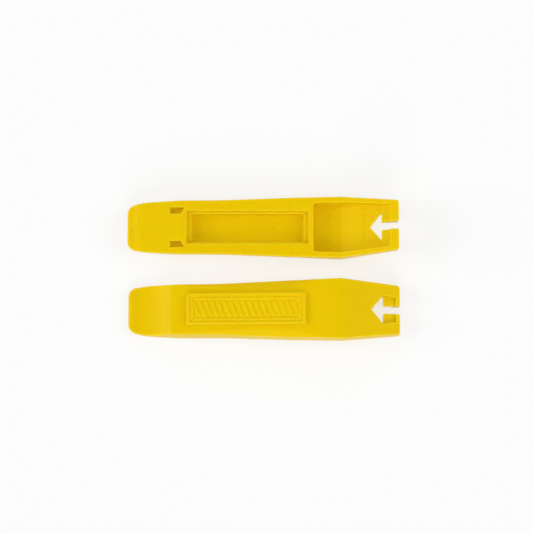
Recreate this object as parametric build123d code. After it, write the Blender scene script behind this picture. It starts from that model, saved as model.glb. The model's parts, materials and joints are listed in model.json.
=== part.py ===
from build123d import *
import os
from math import atan, cos, degrees, radians, sin, tan

# A pair of one-piece moulded bicycle tyre levers, in millimetres.
#
# Both levers are the same moulding.  Each has a spoon that goes under the tyre's bead, a grip panel that
# stands out of its front, a stepped recess in its back that takes the other lever's panel, and a cranked
# end with an arrow-shaped slot that hooks on a spoke.  One lies on its panel with its hollow back up.  The
# other stands on its heel and hook tip with its front up, and turns over on to the first to nest with it.
#
# Lever frame: x runs from the spoon's tip to the hook's tip, y across, and z towards the front, whose face
# is z = 0.  Row frame: +X along the levers towards the hooks, +Z up, origin under the pair's middle.

# Driving dimensions of the lever
LENGTH = 127.0
DEPTH = 9.0  # from the front face to the back rim
KNEE_X = 100.2  # where the end is cranked towards the back
FRONT_CRANK = 20.5  # degrees
BACK_CRANK = 16.5
KNEE_RADIUS = 20.0  # rounds the front's crank
HEEL_X = 26.0  # where the spoon's back meets the level back rim

# Plan outline, half of it: x, half width at the rim, height of the rim, inward draft per mm, corner radius
OUTLINE = [
    (-0.1, 10.2, -5.5, 0.05, 4.8),
    (9.0, 11.9, -7.5, 0.08, 50.0),
    (24.0, 12.65, -DEPTH, 0.10, 60.0),
    (44.0, 12.75, -DEPTH, 0.10, 300.0),
    (80.0, 14.05, -DEPTH, 0.08, 300.0),
    (KNEE_X, 14.45, -DEPTH, 0.04, 5.0),
    (LENGTH, 11.6, -17.0, 0.04, 1.3),
]
BLANK_LOW = -20.0
BLANK_HIGH = 4.0

# Spoon, as seen from the side
NOSE_RADIUS = 1.4
NOSE_Z = -4.6
SCOOP = [(4.2, -4.1), (8.0, -4.4), (14.5, -2.9), (19.0, -0.9)]
RIDGE = (23.3, 0.3)  # the crest between the scoop and the front face
FACE_X = 27.0  # where the slope behind the ridge meets the front face
SPOON_BACK = [(5.0, -7.0), (10.0, -7.6), (16.0, -8.1), (21.0, -8.5)]

# Label panel and the recess that takes it
PANEL_X = (28.2, 83.8)
PANEL_HALF_WIDTH = 7.4
PANEL_HEIGHT = 1.6
PANEL_CORNER = 0.6
FRAME_WIDTH = 1.4
GROOVE_WIDTH = 0.8
INNER_RIB_WIDTH = 0.8
PANEL_SINK = 0.4
NEST_CLEARANCE = 0.3  # between the panel's long sides and the recess
NEST_GAP = 0.2  # between one lever's front face and the other's back rim when nested
RECESS_X = (27.9, 85.1)  # longer than the panel towards the hook
STEP_DEPTH = 2.2
END_LEDGE = 2.3  # width of the ledge inside the step, at the recess's two ends
SIDE_LEDGE = 1.1  # and along its two long sides
RECESS_DEPTH = 5.2
RECESS_CORNER = 0.8

# Raised grip bars on the panel
BAR_COUNT = 17
BAR_WIDTH = 1.2
BAR_HALF_LENGTH = 3.5
BAR_HEIGHT = 0.3
BAR_SLANT = 20.0  # degrees

# Bevels along the front's long edges: x, width
BEVEL = [(26.0, 0.6), (44.0, 1.8), (64.0, 3.0), (78.0, 3.0), (88.0, 0.6)]
BEVEL_DROP = 0.45  # drop per mm of width

# Twin core pockets in the heel
CORE_X = (20.1, 25.2, 26.9)  # start, end beside the middle, end beside the rim
CORE_Y = (6.5, 9.4)
CORE_DEPTH = 2.6
CORE_CORNER = 0.4

# Hollow behind the knee
HOLLOW_X = (87.3, 122.8)
HOLLOW_HALF_WIDTHS = (11.4, 11.8, 9.8)  # at its start, at the knee and at its end
HOLLOW_SKIN = 3.2  # front face to hollow's floor, up to the knee
HOLLOW_END_SKIN = 3.8
SHELF_X = 119.0  # the hollow's floor steps up here, behind the reliefs
SHELF_RISE = 1.2
HOLLOW_CORNER = 1.0

# Spoke slot and the reliefs on each side of it
SLOT_POINT_X = 113.9
SLOT_BARB_X = 119.2
SLOT_BARB_HALF_WIDTH = 6.5
NECK_HALF_WIDTH = 1.8
MOUTH_CHAMFER = 0.6
RELIEF_X = (SLOT_BARB_X, 125.4)
RELIEF_HALF_WIDTHS = (6.5, 5.7)
RELIEF_DEPTH = 1.6
PATCH_X = (110.6, SLOT_BARB_X)
PATCH_DEPTH = 0.35

# The pair
SPACING = 38.65  # between the two centre lines
WIDE = 40.0  # wider than any lever, for cutting solids
DEEP = 40.0  # deeper than any lever
MARGIN = 2.0  # that cutters run past each other
OVERLAP = 0.5  # that a raised detail or a slot's neck runs into its neighbour


def front_z(x):
    """Height of the front face from the ridge to the hook's tip."""
    return -max(0.0, x - KNEE_X) * tan(radians(FRONT_CRANK))


def back_z(x):
    """Height of the back rim from the heel to the hook's tip."""
    return -DEPTH - max(0.0, x - KNEE_X) * tan(radians(BACK_CRANK))


def plan_section(z):
    """The plan outline at height z, with its draft."""
    half = [(x, w - draft * (z - rim_z)) for x, w, rim_z, draft, _ in OUTLINE]
    radii = [row[4] for row in OUTLINE]
    corners = half + [(x, -y) for x, y in reversed(half)]
    sketch = Plane.XY.offset(z) * Polygon(*corners, align=None)
    for (x, y), radius in zip(corners, radii + radii[::-1]):
        corner = sketch.vertices().sort_by_distance((x, y, z))[0]
        sketch = fillet(corner, radius)
    return sketch


def spoon_back():
    """The spoon's back as seen from the side, from the heel to the nose."""
    nose_back = (NOSE_RADIUS, NOSE_Z - NOSE_RADIUS)
    points = [(HEEL_X, -DEPTH), *reversed(SPOON_BACK), nose_back]
    return Plane.XZ * Spline(*points, tangents=[(-1, 0), (-1, 0)])


def side_profile():
    """The lever's side view, as a face in the XZ plane."""
    nose_front = (NOSE_RADIUS, NOSE_Z + NOSE_RADIUS)
    nose_back = (NOSE_RADIUS, NOSE_Z - NOSE_RADIUS)
    scoop = Plane.XZ * Spline(nose_front, *SCOOP, RIDGE, tangents=[(1, 0), (1, 0)])
    ridge = Plane.XZ * Spline(RIDGE, (FACE_X, 0), tangents=[(1, 0), (1, 0)])
    front_line = FilletPolyline((FACE_X, 0), (KNEE_X, 0), (LENGTH, front_z(LENGTH)), radius=KNEE_RADIUS)
    front = Plane.XZ * front_line
    end = Plane.XZ * Line((LENGTH, front_z(LENGTH)), (LENGTH, back_z(LENGTH)))
    back = Plane.XZ * Polyline((LENGTH, back_z(LENGTH)), (KNEE_X, -DEPTH), (HEEL_X, -DEPTH))
    nose = Plane.XZ * ThreePointArc(nose_back, (0, NOSE_Z), nose_front)
    return make_face([scoop, ridge, front, end, back, spoon_back(), nose])


def rest_pose():
    """Angle and height that stand a lever on its heel and hook tip."""
    curve = spoon_back()
    heel = [curve @ (i / 100) for i in range(101)]
    angle = min(atan((p.Z - back_z(LENGTH)) / (LENGTH - p.X)) for p in heel)
    return angle, LENGTH * -sin(angle) - back_z(LENGTH) * cos(angle)


def prism(face_xz):
    """A face in the XZ plane made into a solid as wide as WIDE."""
    return extrude(face_xz, WIDE / 2, both=True)


def side_cutter(points, level):
    """A solid between the line through points (x, z), run level past both ends, and a far level."""
    (first_x, first_z), (last_x, last_z) = points[0], points[-1]
    first_x -= MARGIN
    last_x += MARGIN
    closed = [(first_x, first_z), *points, (last_x, last_z), (last_x, level), (first_x, level)]
    return prism(Plane.XZ * Polygon(*closed, align=None))


def below(points):
    """A cutting solid: everything behind the line through points (x, z)."""
    return side_cutter(points, -DEEP - MARGIN)


def above(points):
    """A cutting solid: everything in front of the line through points (x, z)."""
    return side_cutter(points, DEEP + MARGIN)


def column(corners, radius=0.0):
    """A tall upright solid over a plan polygon, with its corners rounded."""
    sketch = Polygon(*corners, align=None)
    if radius:
        sketch = fillet(sketch.vertices(), radius)
    return extrude(Plane.XY.offset(-DEEP) * sketch, 2 * DEEP, dir=(0, 0, 1))


def rectangle_column(x_range, half_width, radius=0.0):
    (x0, x1) = x_range
    corners = [(x0, -half_width), (x1, -half_width), (x1, half_width), (x0, half_width)]
    return column(corners, radius)


def grown(x_range, amount):
    return (x_range[0] - amount, x_range[1] + amount)


def blank():
    """The plan outline and the side view together."""
    plan = loft([plan_section(BLANK_LOW), plan_section(BLANK_HIGH)], ruled=True)
    return plan & prism(side_profile())


def bevel_cutters():
    """One long wedge along each front edge."""
    cutters = []
    for side in (1, -1):
        sections = []
        for x, width in BEVEL:
            inner = half_width_at(x, 0.0) - width
            outer = inner + width + MARGIN
            top = (inner - MARGIN, MARGIN * BEVEL_DROP)
            low = (outer, -(outer - inner) * BEVEL_DROP)
            corners = [(side * y, z) for y, z in (top, (outer, top[1]), low)]
            plane = Plane(origin=(x, 0, 0), x_dir=(0, 1, 0), z_dir=(1, 0, 0))
            sections.append(plane * Polygon(*corners, align=None))
        cutters.append(loft(sections, ruled=True))
    return cutters


def half_width_at(x, z):
    """Half width of the drafted outline at a point, corners left sharp."""
    rows = [(row[0], row[1] - row[3] * (z - row[2])) for row in OUTLINE]
    for (x0, w0), (x1, w1) in zip(rows, rows[1:]):
        if x0 <= x <= x1:
            return w0 + (w1 - w0) * (x - x0) / (x1 - x0)
    return rows[-1][1]


def panel():
    """The raised label panel: a frame, a thin inner rib and slanted grip bars on a sunk floor."""
    top = PANEL_HEIGHT
    body = rectangle_column(PANEL_X, PANEL_HALF_WIDTH, PANEL_CORNER)
    slab = body & above([(0, -OVERLAP), (LENGTH, -OVERLAP)]) & below([(0, top), (LENGTH, top)])
    floor = above([(0, top - PANEL_SINK), (LENGTH, top - PANEL_SINK)])

    def ring(inset, width):
        outer = rectangle_column(grown(PANEL_X, -inset), PANEL_HALF_WIDTH - inset)
        inset += width
        inner = rectangle_column(grown(PANEL_X, -inset), PANEL_HALF_WIDTH - inset)
        return outer - inner

    field_inset = FRAME_WIDTH + GROOVE_WIDTH + INNER_RIB_WIDTH
    field = rectangle_column(grown(PANEL_X, -field_inset), PANEL_HALF_WIDTH - field_inset)
    slab -= floor & ring(FRAME_WIDTH, GROOVE_WIDTH)
    slab -= floor & field
    slab += grip_bars(top - PANEL_SINK, field_inset)
    return slab


def grip_bars(floor_z, field_inset):
    """Slanted bars along the panel's field, standing on its floor."""
    x0, x1 = grown(PANEL_X, -field_inset)
    pitch = (x1 - x0) / BAR_COUNT
    size = (BAR_WIDTH, 2 * BAR_HALF_LENGTH, BAR_HEIGHT + OVERLAP)
    bar = Box(*size, align=(Align.CENTER, Align.CENTER, Align.MIN))
    bars = []
    for i in range(BAR_COUNT):
        place = Pos(x0 + pitch * (i + 0.5), 0, floor_z - OVERLAP) * Rot(0, 0, BAR_SLANT)
        bars.append(place * bar)
    return Compound(children=bars)


def nest_recess():
    """The stepped recess in the back: a shallow step for the panel, and a deeper core inside a ledge."""
    step_half = PANEL_HALF_WIDTH + NEST_CLEARANCE
    step_z = -DEPTH + STEP_DEPTH
    core_z = -DEPTH + RECESS_DEPTH
    step = rectangle_column(RECESS_X, step_half, RECESS_CORNER) & below([(0, step_z), (LENGTH, step_z)])
    core = rectangle_column(grown(RECESS_X, -END_LEDGE), step_half - SIDE_LEDGE, RECESS_CORNER)
    return step + (core & below([(0, core_z), (LENGTH, core_z)]))


def hollow_floor_z(x):
    """Height of the hollow's floor, without its shelf."""
    end_x = HOLLOW_X[1]
    slope = (front_z(end_x) - HOLLOW_END_SKIN + HOLLOW_SKIN) / (end_x - KNEE_X)
    return -HOLLOW_SKIN + slope * max(0.0, x - KNEE_X)


def hollow():
    """The hollow behind the knee, with a shelf at its end and a shallow patch around the slot's point."""
    (x0, x1) = HOLLOW_X
    start, middle, end = HOLLOW_HALF_WIDTHS
    half = [(x0, start), (KNEE_X, middle), (x1, end)]
    corners = half + [(x, -y) for x, y in reversed(half)]
    floor = [(x, hollow_floor_z(x)) for x in (x0, KNEE_X, SHELF_X)]
    floor += [(x, hollow_floor_z(x) - SHELF_RISE) for x in (SHELF_X, x1)]
    space = column(corners, HOLLOW_CORNER) & below(floor)
    patch_floor = [(x, hollow_floor_z(x) + PATCH_DEPTH) for x in PATCH_X]
    return space + (rectangle_column(PATCH_X, SLOT_BARB_HALF_WIDTH) & below(patch_floor))


def core_pockets():
    """The two blind pockets in the heel, each longer beside the rim."""
    start, end_inner, end_outer = CORE_X
    inner, outer = CORE_Y
    floor = [(0, -DEPTH + CORE_DEPTH), (LENGTH, -DEPTH + CORE_DEPTH)]
    pockets = []
    for side in (1, -1):
        corners = [(start, inner), (end_inner, inner), (end_outer, outer), (start, outer)]
        pockets.append(column([(x, side * y) for x, y in corners], CORE_CORNER) & below(floor))
    return pockets


def spoke_slot():
    """The arrow-shaped hole and the neck that opens it to the hook's tip."""
    arrow = [
        (SLOT_POINT_X, 0),
        (SLOT_BARB_X, SLOT_BARB_HALF_WIDTH),
        (SLOT_BARB_X, -SLOT_BARB_HALF_WIDTH),
    ]
    edge = [
        (SLOT_BARB_X - OVERLAP, NECK_HALF_WIDTH),
        (LENGTH - MOUTH_CHAMFER, NECK_HALF_WIDTH),
        (LENGTH + MARGIN, NECK_HALF_WIDTH + MOUTH_CHAMFER + MARGIN),
    ]
    return column(arrow) + column(edge + [(x, -y) for x, y in reversed(edge)])


def spoke_relief():
    """The sunk area on the front, on both sides of the neck, narrower towards the tip."""
    floor = [(x, front_z(x) - RELIEF_DEPTH) for x in RELIEF_X]
    edge = list(zip(RELIEF_X, RELIEF_HALF_WIDTHS))
    return column(edge + [(x, -y) for x, y in reversed(edge)]) & above(floor)


def lever():
    """One lever, in the lever frame."""
    solid = blank()
    for cutter in bevel_cutters():
        solid -= cutter
    solid += panel()
    solid -= nest_recess()
    solid -= hollow()
    for pocket in core_pockets():
        solid -= pocket
    solid -= spoke_relief()
    solid -= spoke_slot()
    return solid


def main():
    one = lever().solid()
    print("lever", one.is_valid, round(one.volume), "mm3", one.bounding_box())
    pitch, rise = rest_pose()
    nested_height = PANEL_HEIGHT + DEPTH + NEST_GAP
    shift = (nested_height - rise) * tan(pitch / 2)
    face_down = Pos(0, SPACING / 2, PANEL_HEIGHT) * Rot(180, 0, 0) * one
    face_up = Pos(shift, -SPACING / 2, rise) * Rot(0, -degrees(pitch), 0) * one
    boxes = [face_down.bounding_box(), face_up.bounding_box()]
    low = [min(getattr(box.min, axis) for box in boxes) for axis in "XYZ"]
    high = [max(getattr(box.max, axis) for box in boxes) for axis in "XYZ"]
    centre = Pos(-(low[0] + high[0]) / 2, -(low[1] + high[1]) / 2, -low[2])
    print("pitch", degrees(pitch), "rise", rise, "shift", shift, "box", low, high)
    os.makedirs("parts", exist_ok=True)
    export_step(centre * face_down, "parts/lever_face_down.step")
    export_step(centre * face_up, "parts/lever_face_up.step")


if __name__ == "__main__":
    main()
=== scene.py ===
import json
from math import cos, pi, radians, sin

import bpy
import numpy as np
from mathutils import Matrix, Vector


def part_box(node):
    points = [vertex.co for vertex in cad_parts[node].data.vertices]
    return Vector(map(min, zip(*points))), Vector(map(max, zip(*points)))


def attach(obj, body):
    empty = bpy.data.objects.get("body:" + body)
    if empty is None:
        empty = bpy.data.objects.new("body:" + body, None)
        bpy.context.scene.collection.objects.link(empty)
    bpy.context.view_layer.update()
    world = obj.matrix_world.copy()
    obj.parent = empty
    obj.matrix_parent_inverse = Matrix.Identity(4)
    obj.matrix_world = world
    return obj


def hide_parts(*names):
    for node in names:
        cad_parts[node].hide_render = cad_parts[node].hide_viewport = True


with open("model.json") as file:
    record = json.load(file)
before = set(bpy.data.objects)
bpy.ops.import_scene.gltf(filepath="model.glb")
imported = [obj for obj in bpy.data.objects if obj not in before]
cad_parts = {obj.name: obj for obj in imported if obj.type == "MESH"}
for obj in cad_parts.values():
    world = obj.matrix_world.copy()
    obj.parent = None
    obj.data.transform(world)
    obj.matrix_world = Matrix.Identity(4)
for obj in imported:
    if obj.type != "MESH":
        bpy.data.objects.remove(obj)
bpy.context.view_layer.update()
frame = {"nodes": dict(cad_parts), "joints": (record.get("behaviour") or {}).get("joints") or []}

# A pair of tyre levers, in metres.  One moulding is made from the lever that lies face down: its sharp CAD
# edges are softened and the marks of its mould are added.  A half-turn about the joint gives the other lever.

MM = 0.001
DOWN_NODE, UP_NODE = "lever_face_down", "lever_face_up"
NEST_PITCH = 9.2 * MM  # what the upper lever of a nested pair is raised by

# Mesh of the moulding
VOXEL = 0.15 * MM  # grid that rounds the edges
SOFTENING = 6  # smoothing passes
TRIANGLES = 190_000  # of one lever

# Ejector pin marks, in pairs: distance from the spoon's tip, distance from the middle line
PIN_PLACES = [(36 * MM, 10.1 * MM), (78 * MM, 10.6 * MM), (42 * MM, 0.0), (70 * MM, 0.0), (94 * MM, 6.5 * MM)]
PIN_RADIUS = 1.2 * MM
PIN_RISE = -0.09 * MM
MARK_EDGE = 0.3 * MM  # width of a mark's slope
LEVEL_RANGE = (0.8, 0.9)  # a normal's upward part, where a mark begins and where it has its full depth

# Plastic
YELLOW = (0.825, 0.575, 0.0, 1)
DEEP_YELLOW = (0.805, 0.550, 0.0, 1)
PALE_EDGE_YELLOW = (0.835, 0.71, 0.02, 1)  # of the edges: partly real wear, partly a painted highlight
SPECULAR_TINT = (1.0, 0.8, 0.1, 1)
SPECULAR = 0.35
ROUGHNESS = (0.36, 0.46)
WORN_ROUGHNESS = 0.08  # added at the edges
SCATTER_SHARE = 0.45
SCATTER_RATIO = (1.0, 0.4, 0.05)  # of red, green and blue light under the surface
SCATTER_DEPTH = 1.6 * MM
FLOW_STRETCH = (0.15, 1.0, 1.0)  # draws flow shades, smudges and sink waves out along the lever
SCRATCH_STRETCH = (0.02, 1.0, 1.0)
SCRATCH_ANGLE = radians(7)
# The middle size is that of the patches of the paler edges, which are partly wear and partly a painted
# highlight.
FLOW_SIZE, EDGE_PATCH, SMUDGE_SIZE = 9 * MM, 1.5 * MM, 4 * MM
EDGE_REACH = 1.0 * MM  # how far from an edge it looks worn and is painted lighter as a highlight
SCRATCH_SIZE, SCRATCH_DEPTH = 0.25 * MM, 0.01 * MM
SINK_SIZE, SINK_DEPTH = 12 * MM, 0.12 * MM
GRAIN_SIZE, GRAIN_DEPTH = 0.16 * MM, 0.012 * MM

# Floor and world
FLOOR_SIZE = 30.0
FLOOR_GREY = 0.30
FLOOR_GLOW = 0.67
WORLD = 0.2
BACKDROP = 0.95  # how bright the world looks to the camera, which only a level view reaches

# Soft lights: name, azimuth from -Y towards +X, elevation, strength, spread
SUNS = [
    ("front", 0, 33, 1.20, 40),
    ("right", 90, 35, 1.09, 40),
    ("back", 180, 35, 0.47, 40),
    ("left", -90, 29, 1.50, 36),
    ("top", 0, 90, 0.31, 70),
]

# Camera
DISTANCE = 1.1
ELEVATION = radians(82)
TARGET = Vector((0.0013, 0.0013, 0.006))
VIEW_WIDTH = 0.25
SENSOR = 36  # mm


def link(piece):
    bpy.context.scene.collection.objects.link(piece)
    return piece


def applied(mesh, name, kind, **settings):
    """A new mesh: the given one with one modifier applied."""
    piece = link(bpy.data.objects.new("work", mesh))
    modifier = piece.modifiers.new(name, kind)
    for key, value in settings.items():
        setattr(modifier, key, value)
    graph = bpy.context.evaluated_depsgraph_get()
    result = bpy.data.meshes.new_from_object(piece.evaluated_get(graph), depsgraph=graph)
    bpy.data.objects.remove(piece)
    return result


def mark(places, normals, x, y):
    """Sinks a round spot of the faces that look straight up, around a place in the plan."""
    distance = np.hypot(places[:, 0] - x, places[:, 1] - y)
    share = np.clip((PIN_RADIUS + MARK_EDGE - distance) / MARK_EDGE, 0.0, 1.0)
    share *= np.clip((normals[:, 2] - LEVEL_RANGE[0]) / (LEVEL_RANGE[1] - LEVEL_RANGE[0]), 0.0, 1.0)
    places[:, 2] += PIN_RISE * share * share * (3 - 2 * share)


def mould_marks(mesh):
    """Ejector pin marks on the back: in the rim beside the recess, in the recess and in the hollow."""
    low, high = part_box(DOWN_NODE)
    middle = (low[1] + high[1]) / 2
    count = len(mesh.vertices)
    places, normals = np.empty(count * 3), np.empty(count * 3)
    mesh.vertices.foreach_get("co", places)
    mesh.vertices.foreach_get("normal", normals)
    places, normals = places.reshape(-1, 3), normals.reshape(-1, 3)
    for x, offset in PIN_PLACES:
        for side in (-1, 1):
            mark(places, normals, low[0] + x, middle + side * offset)
    mesh.vertices.foreach_set("co", places.ravel())
    mesh.update()


def moulding():
    """The face-down lever with soft edges and mould marks."""
    mesh = frame["nodes"][DOWN_NODE].data.copy()
    mesh = applied(mesh, "remesh", "REMESH", mode="VOXEL", voxel_size=VOXEL, adaptivity=0.0)
    mesh = applied(mesh, "soften", "SMOOTH", factor=0.5, iterations=SOFTENING)
    mould_marks(mesh)
    triangles_now = 2 * len(mesh.polygons)
    mesh = applied(mesh, "thin", "DECIMATE", ratio=TRIANGLES / triangles_now)
    mesh.shade_smooth()
    return applied(mesh, "level", "WEIGHTED_NORMAL", mode="FACE_AREA", weight=50)


class Nodes:
    """Adds and joins the nodes of one material."""

    def __init__(self, name):
        self.material = bpy.data.materials.new(name)
        self.material.use_nodes = True
        self.tree = self.material.node_tree
        self.shader = self.tree.nodes["Principled BSDF"]

    def add(self, kind, values=None, **settings):
        node = self.tree.nodes.new(kind)
        for key, value in settings.items():
            setattr(node, key, value)
        for key, value in (values or {}).items():
            node.inputs[key].default_value = value
        return node

    def join(self, source, node, key):
        self.tree.links.new(source, node.inputs[key])

    def stretched(self, vector, scale, angle=0.0):
        node = self.add("ShaderNodeMapping", {"Rotation": (0, 0, angle), "Scale": scale})
        self.join(vector, node, "Vector")
        return node.outputs["Vector"]

    def noise(self, vector, size, detail=2.0, roughness=0.5):
        """Noise whose features are about size across."""
        node = self.add("ShaderNodeTexNoise", {"Scale": 1 / size, "Detail": detail, "Roughness": roughness})
        self.join(vector, node, "Vector")
        return node.outputs["Fac"]

    def ranged(self, value, low, high, to_low=0.0, to_high=1.0):
        limits = {"From Min": low, "From Max": high, "To Min": to_low, "To Max": to_high}
        node = self.add("ShaderNodeMapRange", limits)
        self.join(value, node, "Value")
        return node.outputs["Result"]

    def math(self, operation, a, b):
        node = self.add("ShaderNodeMath", operation=operation)
        for i, value in enumerate((a, b)):
            if isinstance(value, (int, float)):
                node.inputs[i].default_value = value
            else:
                self.tree.links.new(value, node.inputs[i])
        return node.outputs["Value"]

    def mixed(self, factor, a, b):
        """A colour between a and b, each a colour or another node's output."""
        node = self.add("ShaderNodeMix", data_type="RGBA")
        self.tree.links.new(factor, node.inputs[0])
        for i, value in ((6, a), (7, b)):
            if isinstance(value, tuple):
                node.inputs[i].default_value = value
            else:
                self.tree.links.new(value, node.inputs[i])
        return node.outputs[2]

    def bump(self, height, distance, strength, under=None):
        node = self.add("ShaderNodeBump", {"Distance": distance, "Strength": strength})
        self.join(height, node, "Height")
        if under:
            self.join(under, node, "Normal")
        return node.outputs["Normal"]


def plastic():
    """Satin yellow nylon: flow shades, paler edges (partly wear, partly a painted highlight), a fine
    spark-eroded grain and hairline scratches.
    """
    nodes = Nodes("yellow_nylon")
    shader = nodes.shader
    coordinates = nodes.add("ShaderNodeTexCoord").outputs["Object"]
    along = nodes.stretched(coordinates, FLOW_STRETCH)

    # Convex edges are made rougher and painted paler: the paler colour is partly wear and partly a painted
    # highlight.
    reach = {"Distance": EDGE_REACH}
    edge = nodes.add("ShaderNodeAmbientOcclusion", reach, samples=8, inside=True, only_local=True)
    edge_share = nodes.ranged(edge.outputs["AO"], 0.95, 0.45)
    patches = nodes.ranged(nodes.noise(coordinates, EDGE_PATCH, 4.0, 0.6), 0.3, 0.6, 0.6, 1.0)
    wear_and_highlight = nodes.math("MULTIPLY", edge_share, patches)

    flow = nodes.ranged(nodes.noise(along, FLOW_SIZE, 3.0), 0.3, 0.7)
    colour = nodes.mixed(flow, DEEP_YELLOW, YELLOW)
    # Painted highlight and wear: the paler colour laid on the convex edges.
    nodes.join(nodes.mixed(wear_and_highlight, colour, PALE_EDGE_YELLOW), shader, "Base Color")

    smudges = nodes.ranged(nodes.noise(along, SMUDGE_SIZE, 4.0), 0.3, 0.7, *ROUGHNESS)
    worn = nodes.math("MULTIPLY", edge_share, WORN_ROUGHNESS)
    nodes.join(nodes.math("ADD", smudges, worn), shader, "Roughness")

    hairline = nodes.stretched(coordinates, SCRATCH_STRETCH, SCRATCH_ANGLE)
    scratches = nodes.ranged(nodes.noise(hairline, SCRATCH_SIZE, 1.0), 0.66, 0.72)
    sink = nodes.bump(nodes.noise(along, SINK_SIZE, 1.0), SINK_DEPTH, 0.5)
    grain = nodes.bump(nodes.noise(coordinates, GRAIN_SIZE, 2.0), GRAIN_DEPTH, 0.5, sink)
    nodes.join(nodes.bump(scratches, SCRATCH_DEPTH, -0.4, grain), shader, "Normal")

    shader.inputs["Specular IOR Level"].default_value = SPECULAR
    shader.inputs["Specular Tint"].default_value = SPECULAR_TINT
    shader.inputs["Subsurface Weight"].default_value = SCATTER_SHARE
    shader.inputs["Subsurface Radius"].default_value = SCATTER_RATIO
    shader.inputs["Subsurface Scale"].default_value = SCATTER_DEPTH
    return nodes.material


def half_turn():
    """The joint's whole travel backwards, which takes the nested lever to the place where it lies."""
    joint = frame["joints"][0]
    axis, point = Vector(joint["axis"]), Vector(joint["pos_m"])
    return Matrix.Translation(point) @ Matrix.Rotation(-pi, 4, axis) @ Matrix.Translation(-point)


def place(mesh, name, body, node):
    """One lever in the scene, standing in for its CAD node."""
    lever = link(bpy.data.objects.new(name, mesh))
    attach(lever, body)
    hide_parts(node)


def lay_floor():
    """White paper that glows a little of itself, so that the shadows on it stay faint."""
    bpy.ops.mesh.primitive_plane_add(size=FLOOR_SIZE, location=(0, 0, 0))
    floor = bpy.context.object
    floor.name = "floor"
    nodes = Nodes("white_paper")
    paper = nodes.shader
    paper.inputs["Base Color"].default_value = (FLOOR_GREY, FLOOR_GREY, FLOOR_GREY, 1)
    paper.inputs["Roughness"].default_value = 0.8
    paper.inputs["Specular IOR Level"].default_value = 0.0
    paper.inputs["Emission Color"].default_value = (1, 1, 1, 1)
    paper.inputs["Emission Strength"].default_value = FLOOR_GLOW
    floor.data.materials.append(nodes.material)


def light_world():
    """A white world that lights the levers softly and looks almost white itself."""
    world = bpy.data.worlds.new("studio")
    bpy.context.scene.world = world
    world.use_nodes = True
    tree = world.node_tree
    background = tree.nodes["Background"]
    background.inputs["Color"].default_value = (1, 1, 1, 1)
    seen = tree.nodes.new("ShaderNodeLightPath").outputs["Is Camera Ray"]
    strength = tree.nodes.new("ShaderNodeMapRange")
    strength.inputs["To Min"].default_value = WORLD
    strength.inputs["To Max"].default_value = BACKDROP
    tree.links.new(seen, strength.inputs["Value"])
    tree.links.new(strength.outputs["Result"], background.inputs["Strength"])


def direction(azimuth, elevation):
    """Unit vector towards an azimuth, where 0 is -Y and 90 degrees is +X, and an elevation."""
    return Vector((sin(azimuth) * cos(elevation), -cos(azimuth) * cos(elevation), sin(elevation)))


def aim(piece, towards):
    piece.rotation_euler = towards.to_track_quat("-Z", "Y").to_euler()


def sun(name, azimuth, elevation, strength, spread):
    data = bpy.data.lights.new(name, "SUN")
    data.energy = strength
    data.angle = radians(spread)
    aim(link(bpy.data.objects.new(name, data)), -direction(radians(azimuth), radians(elevation)))


def add_camera():
    data = bpy.data.cameras.new("camera")
    data.sensor_width = SENSOR
    data.lens = SENSOR * DISTANCE / VIEW_WIDTH
    camera = link(bpy.data.objects.new("camera", data))
    camera.location = TARGET + DISTANCE * direction(0.0, ELEVATION)
    aim(camera, TARGET - camera.location)
    bpy.context.scene.camera = camera


down_mesh = moulding()
down_mesh.materials.clear()
down_mesh.materials.append(plastic())
up_mesh = down_mesh.copy()
up_mesh.transform(half_turn() @ Matrix.Translation((0, 0, NEST_PITCH)))
place(down_mesh, "lever_hollow_up", "resting_lever", DOWN_NODE)
place(up_mesh, "lever_front_up", "turning_lever", UP_NODE)

lay_floor()
light_world()
for row in SUNS:
    sun(*row)
add_camera()
bpy.context.scene.view_settings.view_transform = "Standard"
bpy.context.scene.view_settings.look = "None"
